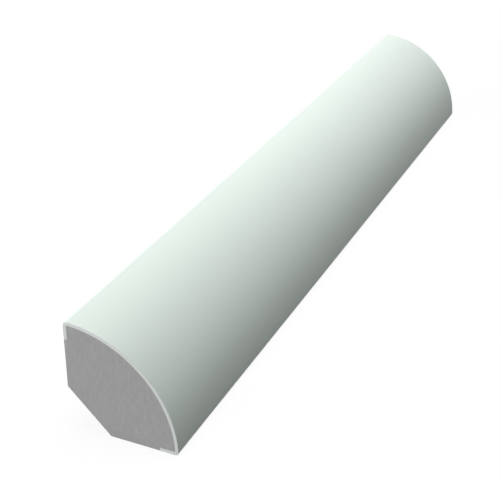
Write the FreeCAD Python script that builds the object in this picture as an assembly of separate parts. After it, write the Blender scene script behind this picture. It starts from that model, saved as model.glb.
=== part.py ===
"""Quarter round moulding: a fibreboard strip of quarter-circle section, wrapped in a decor foil.

The section is drawn by depth, measured out from the wall, and height, measured up from the floor.
Wall and floor meet at depth 0 and height 0, the centre of the round, and the back chamfer keeps the
strip clear of that corner. The section is the same on both sides of its 45 degree line, so each
outline is worked out for the wall side and mirrored, depth for height, to the floor side.

The strip lies along X, with its round face to -Y, its wall face on +Y and its floor face on Z = 0.
"""

import FreeCAD, Part

import math
import os

# Driving dimensions, in millimetres
LENGTH = 152.4  # of the cut piece, 6 inches
LEG = 19.05  # height and depth of the section, 3/4 inch
BACK_CHAMFER = 7.3  # taken off both legs at the hidden back corner
FOIL_THICKNESS = 0.6
FOIL_RETURN = 3.2  # from each tip to the foil's edge on the flat face behind it
CORE_NOSE_RADIUS = 0.1  # eased tips of the core, which the foil turns round

# A finished tip is a small nose, set into the corner of the square that the two legs make
NOSE_RADIUS = CORE_NOSE_RADIUS + FOIL_THICKNESS
NOSE_CENTRE = (NOSE_RADIUS, LEG - NOSE_RADIUS)

# The round is struck from the wall and floor corner, and runs into both noses without a break
NOSE_ANGLE = math.atan2(NOSE_CENTRE[1], NOSE_CENTRE[0])
ROUND_RADIUS = math.hypot(*NOSE_CENTRE) + NOSE_RADIUS

TOWARDS_WALL = math.pi
MIRROR_ANGLE = math.pi / 4


def place(section_point):
    """The point of the strip's -X end at this depth and height of the section."""
    depth, height = section_point
    return FreeCAD.Vector(-LENGTH / 2, LEG / 2 - depth, height)


def mirrored(section_point):
    """The section point on the other side of the 45 degree line."""
    depth, height = section_point
    return height, depth


def around(centre, radius, angle):
    """The section point at this angle up from the floor on a circle."""
    return centre[0] + radius * math.cos(angle), centre[1] + radius * math.sin(angle)


def line(start, end):
    return Part.LineSegment(place(start), place(end)).toShape()


def arc(start, middle, end):
    return Part.Arc(place(start), place(middle), place(end)).toShape()


def foil_edges(inset):
    """Where the foil's two edges lie, on the wall face and on the floor face, this far below the surface."""
    on_wall = (inset, LEG - FOIL_RETURN)
    return on_wall, mirrored(on_wall)


def foil_line(inset):
    """The line that the foil follows from edge to edge, this far below the finished surface."""
    on_wall, on_floor = foil_edges(inset)
    nose_start = (inset, NOSE_CENTRE[1])
    nose_middle = around(NOSE_CENTRE, NOSE_RADIUS - inset, (TOWARDS_WALL + NOSE_ANGLE) / 2)
    nose_end = around((0, 0), ROUND_RADIUS - inset, NOSE_ANGLE)
    round_middle = around((0, 0), ROUND_RADIUS - inset, MIRROR_ANGLE)
    return [
        line(on_wall, nose_start),
        arc(nose_start, nose_middle, nose_end),
        arc(nose_end, round_middle, mirrored(nose_end)),
        arc(mirrored(nose_end), mirrored(nose_middle), mirrored(nose_start)),
        line(mirrored(nose_start), on_floor),
    ]


def strip(outline):
    """The solid of a closed section outline, run along the whole length."""
    wire = Part.Wire(Part.__sortEdges__(outline))
    return Part.Face(wire).extrude(FreeCAD.Vector(LENGTH, 0, 0))


def fibreboard_core():
    """The milled strip: the round, the two flats with a rebate for the foil, and the back chamfer."""
    rebate_wall, rebate_floor = foil_edges(FOIL_THICKNESS)
    flat_wall, flat_floor = foil_edges(0)
    chamfer_wall = (0, BACK_CHAMFER)
    chamfer_floor = mirrored(chamfer_wall)
    corners = [rebate_floor, flat_floor, chamfer_floor, chamfer_wall, flat_wall, rebate_wall]
    back = [line(start, end) for start, end in zip(corners, corners[1:])]
    return strip(foil_line(FOIL_THICKNESS) + back)


def decor_foil():
    """The foil: over the round, round both tips and flush into the rebates of the flats."""
    cut_edges = [line(*pair) for pair in zip(foil_edges(0), foil_edges(FOIL_THICKNESS))]
    return strip(foil_line(0) + foil_line(FOIL_THICKNESS) + cut_edges)


def main():
    os.makedirs("parts", exist_ok=True)
    for make_piece in (fibreboard_core, decor_foil):
        name = make_piece.__name__
        solid = make_piece()
        solid.exportStep(f"parts/{name}.step")
        print(f"{name}: {solid.ShapeType}, valid {solid.isValid()}, {solid.Volume:.1f} mm3")


main()
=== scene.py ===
# %% [markdown]
# # A wrapped quarter round moulding
#
# Quarter round is the strip that covers the joint between a wall and a floor. This one is a short
# cut length: a bar of grey fibreboard, milled to a quarter circle, with a pale foil glued over the
# round and tucked in behind both tips. The sawn end shows both materials, so the end has to look as
# good as the round.
#
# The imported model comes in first. It is a fixed frame that gives every size and place, and nothing
# here moves it.

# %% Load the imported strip
import math
import random

import bmesh
import bpy
import numpy
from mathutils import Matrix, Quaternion, Vector


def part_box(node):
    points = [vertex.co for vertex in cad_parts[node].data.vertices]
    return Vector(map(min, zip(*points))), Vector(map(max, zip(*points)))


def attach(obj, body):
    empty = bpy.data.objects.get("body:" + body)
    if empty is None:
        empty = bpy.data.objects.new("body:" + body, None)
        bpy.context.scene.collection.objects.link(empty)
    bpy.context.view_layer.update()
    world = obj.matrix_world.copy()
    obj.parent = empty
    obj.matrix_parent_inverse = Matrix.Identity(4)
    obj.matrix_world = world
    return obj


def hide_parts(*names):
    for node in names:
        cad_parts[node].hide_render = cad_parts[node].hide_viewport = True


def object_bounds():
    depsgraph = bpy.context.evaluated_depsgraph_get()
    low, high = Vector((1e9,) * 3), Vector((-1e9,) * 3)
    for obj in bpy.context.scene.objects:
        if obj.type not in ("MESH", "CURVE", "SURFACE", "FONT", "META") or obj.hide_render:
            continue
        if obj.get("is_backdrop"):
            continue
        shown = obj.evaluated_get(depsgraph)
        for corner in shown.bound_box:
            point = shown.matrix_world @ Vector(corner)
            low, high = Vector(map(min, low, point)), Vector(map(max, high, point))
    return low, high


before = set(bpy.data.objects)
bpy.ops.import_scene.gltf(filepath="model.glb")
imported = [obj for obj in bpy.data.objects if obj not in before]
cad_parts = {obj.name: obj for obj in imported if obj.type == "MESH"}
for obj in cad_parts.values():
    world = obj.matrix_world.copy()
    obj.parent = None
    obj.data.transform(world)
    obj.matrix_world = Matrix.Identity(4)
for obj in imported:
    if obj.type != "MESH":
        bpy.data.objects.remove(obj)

MILLIMETRE = 0.001  # Blender counts in metres
CAD_LOW, CAD_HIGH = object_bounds()


def in_millimetres(lengths):
    """The lengths in millimetres, rounded for printing."""
    return [round(length / MILLIMETRE, 2) for length in lengths]


print("strip in millimetres:", in_millimetres(CAD_HIGH - CAD_LOW))

# %% [markdown]
# ## The section, read from the frame
#
# Both pieces share one section, so it is measured once, on the frame's own points. Its sizes could
# be typed in again here, but reading them means that a changed frame brings its looks along.
#
# The wall face is the plane of greatest Y and the floor face is Z = 0. The round is struck from the
# line where those two planes meet, and each tip of the foil is a small nose.

# %% Measure the section
NEAR_ENOUGH = 0.001 * MILLIMETRE
HALF_LENGTH = CAD_HIGH.x
WALL = CAD_HIGH.y
LEG = 2 * WALL


def heights_on_wall(node):
    """The lowest and the highest point that a piece has on the wall face."""
    points = [vertex.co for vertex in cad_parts[node].data.vertices]
    heights = [point.z for point in points if abs(point.y - WALL) < NEAR_ENOUGH]
    return min(heights), max(heights)


CHAMFER, FOIL_EDGE = heights_on_wall("fibreboard_core")
NOSE_START = heights_on_wall("decor_foil")[1]
NOSE_RADIUS = LEG - NOSE_START
FOIL_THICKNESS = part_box("decor_foil")[1].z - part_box("fibreboard_core")[1].z

print("leg and chamfer in millimetres:", in_millimetres([LEG, CHAMFER]))
print("foil thickness, edge height and nose in millimetres:",
      in_millimetres([FOIL_THICKNESS, FOIL_EDGE, NOSE_RADIUS]))

# %% [markdown]
# ## The camera
#
# The picture looks down on the strip from its left and front, with the sawn end close by and the
# far end running away. The camera stands so near that the far end looks little more than half as
# large as the sawn one. It could be set by three angles, but where it stands and what it looks at
# are easier to judge, so those two points set it. The last touch is a roll of a fraction of a
# degree about the line of sight.
#
# A camera looks along its own -Z, and so does a lamp, so one small helper turns both.

# %% Set up the camera
CAMERA_PLACE = Vector((-198.34, -75.92, 110.35)) * MILLIMETRE
CAMERA_AIM = Vector((-27.98, 0.48, 9.53)) * MILLIMETRE
CAMERA_ROLL = math.radians(0.3)
CAMERA_LENS = 83.1  # focal length in millimetres, on a sensor 36 mm wide
NEAREST_SEEN = 10 * MILLIMETRE


def facing(place, target):
    """The turn that points a camera or a lamp from a place towards a target."""
    return (target - place).to_track_quat("-Z", "Y")


bpy.ops.object.select_all(action="DESELECT")
bpy.ops.object.camera_add(location=CAMERA_PLACE)
camera = bpy.context.object
camera.rotation_mode = "QUATERNION"
camera.rotation_quaternion = facing(CAMERA_PLACE, CAMERA_AIM) @ Quaternion((0, 0, 1), CAMERA_ROLL)
camera.data.lens = CAMERA_LENS
camera.data.clip_start = NEAREST_SEEN
bpy.context.scene.camera = camera
sight_length = (CAMERA_AIM - CAMERA_PLACE).length
print("camera stands", round(sight_length / MILLIMETRE), "mm from what it looks at")

# %% [markdown]
# ## Shader maths that reads like sums
#
# A finish is a network of nodes. Linking nodes by hand hides the thought behind them, so one small
# class wraps an output socket and lets Python's own operators add the Math nodes. Every other node
# comes from one method, which sets the node's settings first and then its sockets.

# %% Wrap a socket
class Wire:
    """An output socket of a node tree. Sums on it add Math nodes, and node() adds any other node.

    A wire without a socket is a place to start from.
    """

    def __init__(self, tree, socket=None):
        self.tree = tree
        self.socket = socket

    def node(self, kind, settings=None, sockets=None, output=0):
        """Adds a node of this kind and wraps one of its outputs."""
        made = self.tree.nodes.new(kind)
        for name, value in (settings or {}).items():
            setattr(made, name, value)
        for name, value in (sockets or {}).items():
            self.join(value, made.inputs[name])
        return Wire(self.tree, made.outputs[output])

    def join(self, value, socket):
        """Links a wrapped socket to an input, or sets the input to a plain value."""
        if isinstance(value, Wire):
            self.tree.links.new(value.socket, socket)
        else:
            socket.default_value = value

    def reckon(self, operation, *values):
        """Adds a Math node that works on these values."""
        return self.node("ShaderNodeMath", {"operation": operation}, dict(enumerate(values)))

    def __add__(self, other):
        return self.reckon("ADD", self, other)

    def __radd__(self, other):
        return self.reckon("ADD", other, self)

    def __sub__(self, other):
        return self.reckon("SUBTRACT", self, other)

    def __rsub__(self, other):
        return self.reckon("SUBTRACT", other, self)

    def __mul__(self, other):
        return self.reckon("MULTIPLY", self, other)

    def __rmul__(self, other):
        return self.reckon("MULTIPLY", other, self)

    def __abs__(self):
        return self.reckon("ABSOLUTE", self)

    def __gt__(self, other):
        return self.reckon("GREATER_THAN", self, other)


print("wires are ready for shader sums")

# %% [markdown]
# ## The floor
#
# The strip stands on a plain white sheet. A sheet that curves up behind the strip would do as well,
# but the room around it will be white too, so a flat one that is much wider than the picture is
# enough.

# %% Lay the floor
FLOOR_SIZE = 6.0  # metres

bpy.ops.object.select_all(action="DESELECT")
bpy.ops.mesh.primitive_plane_add(size=FLOOR_SIZE)
floor = bpy.context.object
floor.name = "white_floor"
floor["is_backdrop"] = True
print("floor laid:", FLOOR_SIZE, "m square")

# %% [markdown]
# ## White to look at, but not a lamp
#
# The sheet could be lit until it is white, but then it would also throw light back up under the
# round. Instead it is a dull sheet with a glow of its own that only some rays see. Light Path tells
# them apart: rays from the camera, off a mirror or through a glass see the glow, and the light that
# falls on the strip does not. The room is made white in the same way further down.

# %% Tell who is looking
LOOKING_RAYS = ("Is Camera Ray", "Is Glossy Ray", "Is Transmission Ray")


def seen_directly(wire):
    """1 for a ray from the camera, off a mirror or through a glass, and 0 for any other ray."""
    from_camera, off_mirror, through_glass = [
        wire.node("ShaderNodeLightPath", output=ray) for ray in LOOKING_RAYS
    ]
    return (from_camera + off_mirror + through_glass) > 0


print("rays that see the white:", ", ".join(LOOKING_RAYS))

# %% [markdown]
# ## The white sheet
#
# One even glow would be simpler, but if it were white near the strip, the strip's shadow would be
# lost in it. So near the strip the glow stays a little below white and the lamps make up the rest.
# Further off, where the lamps fade, the glow alone makes the white. Seen from below the sheet is
# clear, so that the foot of the strip can be looked at.
#
# Cycles, the renderer, aims test rays at whatever glows, as it does at a lamp. Those rays don't
# count as looking, so they would find the sheet dark and weaken its gleam on the foil. The sheet is
# therefore left out of that aiming, and its gleam comes only from the rays that look.

# %% Whiten the floor
FLOOR_GREY = 0.10
GLOW_NEAR = 0.91
GLOW_FAR = 1.0
GLOW_FROM = 0.12  # metres from the middle of the strip
GLOW_TO = 0.6


def colour(red, green, blue):
    """A colour in linear light, as sockets take it."""
    return (red, green, blue, 1)


def new_finish(name):
    """A new material, and a wire to start its nodes from."""
    material = bpy.data.materials.new(name)
    material.use_nodes = True
    return material, Wire(material.node_tree)


def floor_glow(wire):
    """The strength of the floor's own glow, rising outwards to full white."""
    where = wire.node("ShaderNodeTexCoord", output="Object")
    distance = wire.node("ShaderNodeVectorMath", {"operation": "LENGTH"}, {0: where}, "Value")
    reach = {"From Min": GLOW_FROM, "From Max": GLOW_TO, "To Min": GLOW_NEAR, "To Max": GLOW_FAR}
    return wire.node("ShaderNodeMapRange", sockets={"Value": distance, **reach})


def paint_floor():
    """The finish of the sheet: dull, with a glow for those who look, and clear from below."""
    material, wire = new_finish("white_sheet")
    grey = colour(FLOOR_GREY, FLOOR_GREY, FLOOR_GREY)
    dull = wire.node("ShaderNodeBsdfDiffuse", sockets={"Color": grey})
    strength = seen_directly(wire) * floor_glow(wire)
    glow = wire.node("ShaderNodeEmission", sockets={"Strength": strength})
    sheet = wire.node("ShaderNodeAddShader", sockets={0: dull, 1: glow})
    clear = wire.node("ShaderNodeBsdfTransparent")
    under = wire.node("ShaderNodeNewGeometry", output="Backfacing")
    one_sided = wire.node("ShaderNodeMixShader", sockets={0: under, 1: sheet, 2: clear})
    wire.join(one_sided, material.node_tree.nodes["Material Output"].inputs["Surface"])
    material.cycles.emission_sampling = "NONE"
    return material


floor.data.materials.append(paint_floor())
print("floor whitened: glow", GLOW_NEAR, "near the strip and", GLOW_FAR, "far from it")

# %% [markdown]
# ## Studio light
#
# The round goes from almost white along its top to a mid grey at its foot, evenly and with no
# bright streak. That is the mark of a large soft light right above it. A small lamp further off
# would do for a matt strip, but on satin foil it would draw a streak. The soft one hangs close,
# because the strip is a little brighter halfway along than at its sawn end. A second soft light,
# low and off to that end, gives the sawn face its even grey, and a weak third one keeps the far end
# from going dark.
#
# How soft a light is depends on how wide it looks from the strip, so each lamp's width is a share
# of its distance.

# %% Hang the soft lights
LIGHT_TARGET = Vector((0, 0, LEG / 2))
LIGHT_SPREAD = 0.71  # width for each metre of distance


def soft_light(name, bearing, rise, distance, watts):
    """A square area lamp facing the strip, by its bearing from +X towards +Y and its rise."""
    turn, lift = math.radians(bearing), math.radians(rise)
    sideways = math.cos(lift)
    outwards = Vector((math.cos(turn) * sideways, math.sin(turn) * sideways, math.sin(lift)))
    bpy.ops.object.select_all(action="DESELECT")
    bpy.ops.object.light_add(type="AREA", location=outwards * distance)
    lamp = bpy.context.object
    lamp.name = name
    lamp.rotation_mode = "QUATERNION"
    lamp.rotation_quaternion = facing(lamp.location, LIGHT_TARGET)
    lamp.data.size = distance * LIGHT_SPREAD
    lamp.data.energy = watts
    lamp.visible_camera = False
    print(name, "at", [round(part, 2) for part in lamp.location], "m,", watts, "W")


soft_light("overhead_soft_light", bearing=0, rise=90, distance=0.35, watts=0.97)
soft_light("sawn_end_soft_light", bearing=142, rise=10, distance=1.4, watts=22.6)
soft_light("far_end_soft_light", bearing=0, rise=15, distance=1.4, watts=6.2)

# %% [markdown]
# ## The room around it
#
# The world is the last light: a weak fill from every side, which the camera sees as plain white.
# One even fill would do for the picture, but it would leave the foot of the strip dark when you
# look from below. So below the floor the fill is stronger, and the floor keeps that part from
# everything that stands on it. The Standard view leaves white as white and shows a colour about as
# it is written.

# %% Fill the room
WORLD_FILL = 0.105
FILL_BELOW = 0.55

world = bpy.data.worlds.new("studio")
world.use_nodes = True
bpy.context.scene.world = world
world_wire = Wire(world.node_tree)
direction = world_wire.node("ShaderNodeTexCoord", output="Generated")
height = world_wire.node("ShaderNodeSeparateXYZ", sockets={0: direction}, output="Z")
below = 1 - (height > 0)
fill = WORLD_FILL + below * (FILL_BELOW - WORLD_FILL)
seen = seen_directly(world_wire)
background = world.node_tree.nodes["Background"].inputs
background["Color"].default_value = colour(1, 1, 1)
world_wire.join(seen + (1 - seen) * fill, background["Strength"])
bpy.context.scene.view_settings.view_transform = "Standard"
print("world fill", WORLD_FILL, "above the floor and", FILL_BELOW, "below it")

# %% [markdown]
# ## Picking by place
#
# Both pieces are modelled with Blender's own edit tools, and a tool works on whatever is selected.
# By hand you would click. A script can't, and the numbers of faces and points change with every
# cut, so it picks by a rule instead, such as all points at this height.

# %% Write the picking tool
def pick(piece, kind, wanted):
    """Selects the points, edges or faces of a piece that fit, and nothing else."""
    bpy.ops.mesh.select_mode(type=kind)
    bpy.ops.mesh.select_all(action="DESELECT")
    mesh = bmesh.from_edit_mesh(piece.data)
    for part in {"VERT": mesh.verts, "EDGE": mesh.edges, "FACE": mesh.faces}[kind]:
        if wanted(part):
            part.select_set(True)
    mesh.select_flush_mode()
    bmesh.update_edit_mesh(piece.data)


print("points, edges and faces can be picked by a rule")

# %% [markdown]
# ## A strip to start from
#
# Both pieces run the whole length with one section, so both are drawn the same way. A narrow plane
# on the wall face is the first stretch of the section, and its leading edge then follows the rest.
# A bevelled cube would give a quarter circle too, but not the small noses at its tips or the steps
# behind them.
#
# The plane is cut across into short lengths first, because faces as long as the strip would be
# slivers.

# %% Write the starting tool
LENGTH_CUTS = 47


def start_strip(name, low, high):
    """A plane on the wall face between two heights, cut into short lengths, with its top picked."""
    middle = (0, WALL, (low + high) / 2)
    bpy.ops.object.select_all(action="DESELECT")
    bpy.ops.mesh.primitive_plane_add(size=1, location=middle, rotation=(math.pi / 2, 0, 0))
    piece = bpy.context.object
    piece.name = name
    piece.data.name = name
    piece.scale = (2 * HALF_LENGTH, high - low, 1)
    bpy.ops.object.transform_apply(location=True, rotation=True, scale=True)
    bpy.ops.object.mode_set(mode="EDIT")
    pick(piece, "EDGE", lambda edge: edge.calc_length() > HALF_LENGTH)
    bpy.ops.mesh.subdivide(number_cuts=LENGTH_CUTS)
    pick(piece, "VERT", lambda point: abs(point.co.z - high) < NEAR_ENOUGH)
    return piece


print("a strip starts as", LENGTH_CUTS + 1, "short lengths")

# %% [markdown]
# ## Following the section
#
# The points of the section could be worked out with sines, but Blender has a tool for each stretch:
# the leading edge is extruded along the straights and spun round the arcs. The noses turn a little
# more than a right angle, because the round that runs on from them already slopes, and so the round
# turns a little less.
#
# Spin turns clockwise when its axis points at you, so the axis here points to -X, to go from the
# wall over the top to the front.

# %% Write the drawing tools
ROUND_STEPS = 72
NOSE_STEPS = 8
NOSE_ANGLE = math.atan2(NOSE_RADIUS, LEG - NOSE_RADIUS)
NOSE_TURN = math.pi / 2 + NOSE_ANGLE
ROUND_TURN = math.pi / 2 - 2 * NOSE_ANGLE


def go_straight(across, up):
    """Extrudes the leading edge along a straight of the section."""
    bpy.ops.mesh.extrude_edges_move(TRANSFORM_OT_translate={"value": (0, across, up)})


def go_round(centre_y, centre_z, turn, steps):
    """Spins the leading edge round an arc of the section."""
    bpy.ops.mesh.spin(steps=steps, angle=turn, center=(0, centre_y, centre_z), axis=(-1, 0, 0))


def go_over_the_round():
    """The arcs that foil and core share: the top nose, the round and the front nose."""
    go_round(WALL - NOSE_RADIUS, LEG - NOSE_RADIUS, NOSE_TURN, NOSE_STEPS)
    go_round(WALL, 0, ROUND_TURN, ROUND_STEPS)
    go_round(WALL - LEG + NOSE_RADIUS, NOSE_RADIUS, NOSE_TURN, NOSE_STEPS)


turns = [round(math.degrees(turn), 1) for turn in (NOSE_TURN, ROUND_TURN)]
print("a nose and the round turn by these degrees:", turns)

# %% [markdown]
# ## Finishing a mesh
#
# Extrude and spin can leave two points in one place and faces that look inwards, so each mesh is
# cleaned before it gets its thickness or its ends. Modifiers do the rest. They could stay live, but
# what is exported should be plain mesh, so each is applied at once.

# %% Write the finishing tools
def clean_up():
    """Merges doubled points and turns all faces outwards."""
    bpy.ops.mesh.select_all(action="SELECT")
    bpy.ops.mesh.remove_doubles(threshold=NEAR_ENOUGH)
    bpy.ops.mesh.normals_make_consistent(inside=False)


def use_modifier(piece, kind, **settings):
    """Adds a modifier with these settings and applies it."""
    modifier = piece.modifiers.new(kind.title(), kind)
    for name, value in settings.items():
        setattr(modifier, name, value)
    bpy.ops.object.modifier_apply(modifier=modifier.name)


def report(piece):
    """Prints how many faces a piece has, and how many triangles they make."""
    triangles = sum(len(face.vertices) - 2 for face in piece.data.polygons)
    print(piece.name, "has", len(piece.data.polygons), "faces and", triangles, "triangles")


print("doubles count as one point within", NEAR_ENOUGH / MILLIMETRE, "mm")

# %% [markdown]
# ## The foil
#
# The foil is one sheet. It starts on the wall face, turns round the top nose, covers the round,
# turns round the front nose and ends on the floor face. Its two faces could be drawn one after the
# other, but drawing the outer skin and letting Solidify thicken it inwards gives one even
# thickness, which is just what a sheet has.

# %% Wrap the foil
foil = start_strip("decor_foil_wrap", FOIL_EDGE, NOSE_START)
go_over_the_round()
go_straight(NOSE_START - FOIL_EDGE, 0)
clean_up()
bpy.ops.object.mode_set(mode="OBJECT")
use_modifier(foil, "SOLIDIFY", thickness=FOIL_THICKNESS, offset=-1, use_even_offset=True)
report(foil)

# %% [markdown]
# ## The foil's cut edges
#
# No cut edge is perfectly sharp. A Bevel modifier would ease every corner and open a groove between
# foil and core, so only the outer corners are picked and bevelled, on the sawn ends and along the
# two knife-cut edges. Shading then runs smoothly over gentle bends and breaks at the corners that
# are left. Weighted normals keep the large faces flat beside the small bevels.

# %% Ease the cut edges
CUT_EASE = 0.05 * MILLIMETRE
CUT_EASE_STEPS = 3
SHARP_ABOVE = math.radians(60)
SMOOTH_BELOW = math.radians(50)
END_FACING = 0.99  # a face whose normal has this much of X belongs to an end
SECTION_MIDDLE = Vector((0, WALL - LEG / 3, LEG / 3))


def on_outer_skin(face):
    """True for a face along the strip that points away from the middle of the section."""
    along_strip = abs(face.normal.x) < END_FACING
    return along_strip and face.normal.dot(face.calc_center_median() - SECTION_MIDDLE) > 0


def is_outer_corner(edge):
    """True for a sharp edge of the outer skin."""
    sharp = edge.calc_face_angle(0) > SHARP_ABOVE
    return sharp and any(on_outer_skin(face) for face in edge.link_faces)


def shade(piece):
    """Shades gentle bends smoothly and leaves the other corners crisp."""
    bpy.ops.object.shade_smooth_by_angle(angle=SMOOTH_BELOW)
    use_modifier(piece, "WEIGHTED_NORMAL", keep_sharp=True)


bpy.ops.object.mode_set(mode="EDIT")
pick(foil, "EDGE", is_outer_corner)
bpy.ops.mesh.bevel(offset=CUT_EASE, segments=CUT_EASE_STEPS, affect="EDGES")
bpy.ops.object.mode_set(mode="OBJECT")
shade(foil)
report(foil)

# %% [markdown]
# ## The fibreboard core
#
# The core fills the foil and shows on the two flats, on the chamfer across the hidden corner and on
# both ends. It could be a solid bar with the foil cut away from it, but a cut leaves ragged faces
# along the round. So it is drawn with the same arcs, inset by the foil's thickness, with a small
# step behind each tip for the foil's edge to lie in. The section closes on its own first edge.

# %% Draw the core
core = start_strip("fibreboard_core_bar", CHAMFER, FOIL_EDGE)
go_straight(-FOIL_THICKNESS, 0)
go_straight(0, NOSE_START - FOIL_EDGE)
go_over_the_round()
go_straight(NOSE_START - FOIL_EDGE, 0)
go_straight(0, -FOIL_THICKNESS)
go_straight(FOIL_EDGE - CHAMFER, 0)
go_straight(CHAMFER, CHAMFER)
clean_up()
bpy.ops.object.mode_set(mode="OBJECT")
report(core)

# %% [markdown]
# ## The core's ends and arrises
#
# So far the core is a tube. Each end is filled with one face, whose points are picked by their
# place along the strip. The sharp line where two planed faces meet is called an arris, and handling
# soon dulls it. It could be picked and bevelled as on the foil, but here every arris is eased, so
# the Bevel modifier does it.

# %% Fill the ends and ease the arrises
ARRIS_EASE = 0.08 * MILLIMETRE
ARRIS_STEPS = 2
ARRIS_ABOVE = math.radians(35)

bpy.ops.object.mode_set(mode="EDIT")
for end in (-HALF_LENGTH, HALF_LENGTH):
    pick(core, "VERT", lambda point: abs(point.co.x - end) < NEAR_ENOUGH)
    bpy.ops.mesh.edge_face_add()
clean_up()
bpy.ops.object.mode_set(mode="OBJECT")
use_modifier(core, "BEVEL", width=ARRIS_EASE, segments=ARRIS_STEPS, limit_method="ANGLE",
             angle_limit=ARRIS_ABOVE)
report(core)

# %% [markdown]
# ## Saw marks
#
# The end was cut with a saw that ran straight down, and its teeth left faint upright lines. They
# could be painted, but real ridges answer the light from any side. Each line is one bisect cut
# across the end face. Pushing in one line at a time would bend the strips between them, so once all
# are cut, every point of the end is moved by the same saw profile, and each strip stays flat.
# Places and depths come from a seeded draw, so that every run gives the same end.

# %% Saw the ends
SAW_PITCH = 0.38 * MILLIMETRE
SAW_CLOSEST = 0.5  # from one line to the next, as shares of the pitch
SAW_WIDEST = 1.5
SAW_DEPTH = 0.020 * MILLIMETRE
SAW_SNAP = 0.02 * MILLIMETRE  # a line this close to a point of the outline runs into it
SAW_SEED = 7


def saw_profile(draw):
    """The places of the lines across an end, and how deep the saw went at each."""
    places = []
    place = CAD_LOW.y + draw.uniform(SAW_CLOSEST, 1) * SAW_PITCH
    while place < CAD_HIGH.y:
        places.append(place)
        place += draw.uniform(SAW_CLOSEST, SAW_WIDEST) * SAW_PITCH
    return places, [draw.uniform(0, SAW_DEPTH) for _ in places]


def saw_end(piece, outwards, places, depths):
    """Cuts the lines across the end on the +X or -X side, and lowers its points to the depths."""
    end = outwards * HALF_LENGTH
    for place in places:
        pick(piece, "FACE", lambda face: face.normal.x * outwards > END_FACING)
        bpy.ops.mesh.bisect(plane_co=(0, place, 0), plane_no=(0, 1, 0), threshold=SAW_SNAP)
    mesh = bmesh.from_edit_mesh(piece.data)
    for vertex in mesh.verts:
        if abs(vertex.co.x - end) < NEAR_ENOUGH:
            vertex.co.x -= outwards * numpy.interp(vertex.co.y, places, depths)
    bmesh.update_edit_mesh(piece.data)
    print("saw lines on the end at x =", round(end / MILLIMETRE, 1), "mm:", len(places))


draw = random.Random(SAW_SEED)
bpy.ops.object.mode_set(mode="EDIT")
for outwards in (-1, 1):
    saw_end(core, outwards, *saw_profile(draw))
bpy.ops.object.mode_set(mode="OBJECT")
shade(core)
report(core)

# %% [markdown]
# ## Tools for the finishes
#
# Both finishes could be pictures wrapped round the pieces, but a picture has seams and goes soft up
# close. Noise that is worked out at each point has neither fault. The two finishes share a few
# tools: noise of a given size, a blend of two colours, a mask for the sawn ends, and relief that is
# too fine to model. The relief has true heights, in metres.

# %% Write the finish tools
MIX_FACTOR, MIX_FIRST, MIX_SECOND, MIX_RESULT = 0, 6, 7, 2  # where a Mix node keeps its colours


def noise(wire, where, size, detail=2.0):
    """Noise from 0 to 1 with blotches of about this size."""
    sockets = {"Vector": where, "Scale": 1 / size, "Detail": detail}
    return wire.node("ShaderNodeTexNoise", sockets=sockets)


def blend_colours(share, first, second):
    """The first colour where share is 0, the second where it is 1."""
    sockets = {MIX_FACTOR: share, MIX_FIRST: first, MIX_SECOND: second}
    return share.node("ShaderNodeMix", {"data_type": "RGBA"}, sockets, MIX_RESULT)


def place_along(wire, where):
    """How far along the strip a point lies, from the middle."""
    return wire.node("ShaderNodeSeparateXYZ", sockets={0: where}, output="X")


def near_an_end(wire, where, depth):
    """1 within this depth of a sawn end and 0 along the rest of the strip."""
    return abs(place_along(wire, where)) > (HALF_LENGTH - depth)


def emboss(wire, height, surface):
    """Shades a surface as if it had this relief."""
    bump = wire.node("ShaderNodeBump", sockets={"Height": height, "Distance": 1.0, "Strength": 1.0})
    wire.join(bump, surface["Normal"])


print("finish tools ready")

# %% [markdown]
# ## The foil's finish
#
# The foil is a satin vinyl, printed white with a breath of green. Up close it has a fine grain from
# its embossing roller and a slower unevenness, called peel here, where it follows the board. Both
# are far too small to model, so they are bump. The colour wanders by a percent or two, as printed
# film does. Where the saw went through, the film's own body shows, which is plainer and duller than
# its printed face.

# %% Paint the foil
FOIL_PALE = colour(0.725, 0.812, 0.755)
FOIL_DEEP = colour(0.700, 0.790, 0.730)
FOIL_BODY = colour(0.745, 0.780, 0.760)
GRAIN_SIZE = 0.25 * MILLIMETRE
GRAIN_DETAIL = 3.0
GRAIN_HEIGHT = 0.006 * MILLIMETRE
PEEL_SIZE = 1.8 * MILLIMETRE
PEEL_HEIGHT = 0.020 * MILLIMETRE
DRIFT_SIZE = 14 * MILLIMETRE
TINT_BY_DRIFT = 0.6
TINT_BY_GRAIN = 0.2
FOIL_ROUGHNESS = 0.46
ROUGHER_BY_GRAIN = 0.10
ROUGHER_BY_DRIFT = 0.04
ROUGHER_WHERE_CUT = 0.25


def paint_foil():
    """The finish of the film: printed on its face, plain where it was sawn."""
    material, wire = new_finish("pale_satin_foil")
    surface = material.node_tree.nodes["Principled BSDF"].inputs
    where = wire.node("ShaderNodeTexCoord", output="Object")
    grain = noise(wire, where, GRAIN_SIZE, GRAIN_DETAIL)
    drift = noise(wire, where, DRIFT_SIZE)
    peel = noise(wire, where, PEEL_SIZE)
    cut = near_an_end(wire, where, CUT_EASE / 2)
    printed = blend_colours(drift * TINT_BY_DRIFT + grain * TINT_BY_GRAIN, FOIL_PALE, FOIL_DEEP)
    wire.join(blend_colours(cut, printed, FOIL_BODY), surface["Base Color"])
    roughness = FOIL_ROUGHNESS + grain * ROUGHER_BY_GRAIN + drift * ROUGHER_BY_DRIFT
    wire.join(roughness + cut * ROUGHER_WHERE_CUT, surface["Roughness"])
    emboss(wire, grain * GRAIN_HEIGHT + peel * PEEL_HEIGHT, surface)
    return material


foil.data.materials.clear()
foil.data.materials.append(paint_foil())
print("foil painted:", len(foil.data.materials[0].node_tree.nodes), "nodes")

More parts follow.
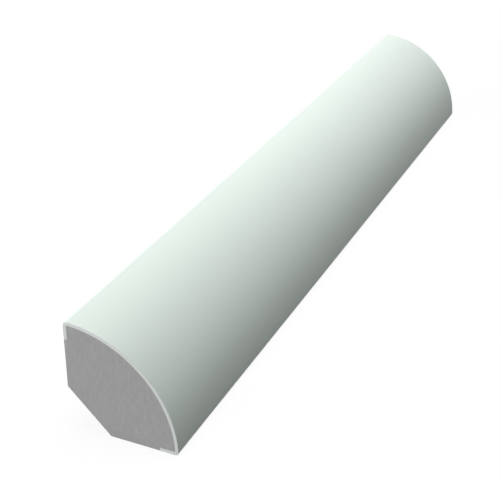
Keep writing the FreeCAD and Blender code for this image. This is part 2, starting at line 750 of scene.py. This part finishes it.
# %% [markdown]
# ## Fibres that lie two ways
#
# Fibreboard is felted wood fibre. On the sawn ends the fibres show as fine upright streaks, and on
# the flats and the chamfer they lie along the strip. Two materials could do that. Here one mask
# tells the two kinds of face apart by their place along the strip, and it chooses which way the
# same noise is drawn out, so that the board keeps one colour all over.
#
# Streaks alone would look like brushed metal. What makes it felt is that they wander, so the
# coordinates are warped a little first.

# %% Draw out the fibres
WARP_SIZE = 1.6 * MILLIMETRE
WARP_REACH = 0.5 * MILLIMETRE
WARP_DETAIL = 1.0
UPRIGHT = (1, 1, 0.15)
LENGTHWISE = (0.22, 1, 1)
VECTOR_FIRST, VECTOR_SECOND, VECTOR_RESULT = 4, 5, 1  # where a Mix node keeps its vectors


def warped(wire, where):
    """Coordinates pushed about by noise, so that straight streaks wander."""
    waves = {"Vector": where, "Scale": 1 / WARP_SIZE, "Detail": WARP_DETAIL}
    push = wire.node("ShaderNodeTexNoise", sockets=waves, output="Color")
    reach = (WARP_REACH, WARP_REACH, WARP_REACH)
    sockets = {0: push, 1: reach, 2: where}
    return wire.node("ShaderNodeVectorMath", {"operation": "MULTIPLY_ADD"}, sockets)


def drawn_out(wire, where, on_end):
    """Coordinates squeezed upright on the ends and lengthwise elsewhere, for streaks of noise."""
    sockets = {MIX_FACTOR: on_end, VECTOR_FIRST: LENGTHWISE, VECTOR_SECOND: UPRIGHT}
    squeeze = wire.node("ShaderNodeMix", {"data_type": "VECTOR"}, sockets, VECTOR_RESULT)
    return wire.node("ShaderNodeVectorMath", {"operation": "MULTIPLY"}, {0: where, 1: squeeze})


stretches = [round(1 / min(squeeze), 1) for squeeze in (UPRIGHT, LENGTHWISE)]
print("fibres are this many times as long as wide, on the ends and elsewhere:", stretches)

# %% [markdown]
# ## The fibreboard's colour
#
# One noise through a colour ramp would be quick, but all its lights and darks would follow the same
# pattern. So the streaks carry most of the board's light and dark, and a fine speck with no
# direction and a slow mottle go over them, which keeps the streaks from looking printed. A few
# paler and darker flecks stand out, as single fibres do. They are the peaks and the hollows of one
# more noise.

# %% Mix the board's colour
BOARD_LIGHT = colour(0.525, 0.525, 0.525)
BOARD_DARK = colour(0.315, 0.315, 0.315)
SHADE_BY_FIBRE = 0.65
SHADE_BY_SPECK = 0.20
SHADE_BY_MOTTLE = 0.15
MOTTLE_SIZE = 2.5 * MILLIMETRE
FLECK_PALE = colour(0.600, 0.598, 0.590)
FLECK_DARK = colour(0.300, 0.300, 0.298)
FLECK_SIZE = 0.28 * MILLIMETRE
FLECK_DETAIL = 1.0
PALE_FROM, PALE_TO, PALE_SHARE = 0.67, 0.75, 0.35
DARK_FROM, DARK_TO, DARK_SHARE = 0.68, 0.76, 0.40


def only_above(wire, value, low, high):
    """0 below low, 1 above high, and a soft step between."""
    sockets = {"Value": value, "From Min": low, "From Max": high}
    return wire.node("ShaderNodeMapRange", {"interpolation_type": "SMOOTHSTEP"}, sockets)


def board_colour(wire, where, streaks, fibre, speck):
    """The grey of the felt, with its flecks."""
    mottle = noise(wire, where, MOTTLE_SIZE)
    shade_of_grey = fibre * SHADE_BY_FIBRE + speck * SHADE_BY_SPECK + mottle * SHADE_BY_MOTTLE
    felt = blend_colours(shade_of_grey, BOARD_LIGHT, BOARD_DARK)
    flecks = noise(wire, streaks, FLECK_SIZE, FLECK_DETAIL)
    pale = only_above(wire, flecks, PALE_FROM, PALE_TO)
    dark = only_above(wire, 1 - flecks, DARK_FROM, DARK_TO)
    felt_and_pale = blend_colours(pale * PALE_SHARE, felt, FLECK_PALE)
    return blend_colours(dark * DARK_SHARE, felt_and_pale, FLECK_DARK)


print("greys of the board, in linear light, from", BOARD_DARK[0], "to", BOARD_LIGHT[0])

# %% [markdown]
# ## The fibreboard's finish
#
# Raw board is dull: light sinks in between its fibres, so it is rough and has little gloss. The
# fibres and specks that colour it also stand up from it, so the same noise gives the relief. On the
# flats and the chamfer the turning cutter that milled them left a ripple a few thousandths of a
# millimetre high. A ripple is regular, so it is a sine and not noise.

# %% Paint the fibreboard
FIBRE_WIDTH = 0.20 * MILLIMETRE
FIBRE_DETAIL = 3.0
FIBRE_HEIGHT = 0.010 * MILLIMETRE
SPECK_SIZE = 0.11 * MILLIMETRE
SPECK_HEIGHT = 0.006 * MILLIMETRE
CUTTER_PITCH = 1.4 * MILLIMETRE
RIPPLE_HEIGHT = 0.002 * MILLIMETRE
BOARD_ROUGHNESS = 0.80
ROUGHER_BY_SPECK = 0.12
BOARD_GLOSS = 0.25


def paint_fibreboard():
    """The finish of the felted board, sawn on its ends and milled elsewhere."""
    material, wire = new_finish("grey_fibreboard")
    surface = material.node_tree.nodes["Principled BSDF"].inputs
    where = wire.node("ShaderNodeTexCoord", output="Object")
    on_end = near_an_end(wire, where, ARRIS_EASE)
    streaks = drawn_out(wire, warped(wire, where), on_end)
    fibre = noise(wire, streaks, FIBRE_WIDTH, FIBRE_DETAIL)
    speck = noise(wire, where, SPECK_SIZE)
    wire.join(board_colour(wire, where, streaks, fibre, speck), surface["Base Color"])
    wire.join(BOARD_ROUGHNESS + speck * ROUGHER_BY_SPECK, surface["Roughness"])
    surface["Specular IOR Level"].default_value = BOARD_GLOSS
    ripple = wire.reckon("SINE", place_along(wire, where) * (math.tau / CUTTER_PITCH))
    fuzz = fibre * FIBRE_HEIGHT + speck * SPECK_HEIGHT
    emboss(wire, fuzz + (1 - on_end) * ripple * RIPPLE_HEIGHT, surface)
    return material


core.data.materials.clear()
core.data.materials.append(paint_fibreboard())
print("fibreboard painted:", len(core.data.materials[0].node_tree.nodes), "nodes")

# %% [markdown]
# ## Put both pieces in the frame
#
# The strip has no joints, so everything rides on its one body. Each new piece stands for the
# imported solid of the same kind, which is hidden.

# %% Ride on the frame
for piece, node, slot in ((foil, "decor_foil", "foil"), (core, "fibreboard_core", "fibreboard")):
    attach(piece, "root")
    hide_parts(node)
    print(piece.name, "stands for", node)

# %% [markdown]
# ## The sizes
#
# Looks never change the strip's size. Both boxes are printed, the imported one and the new one, so
# that they can be set side by side after each run.

# %% Print the size
new_low, new_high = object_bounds()
print("visual model in millimetres:", in_millimetres(new_high - new_low))
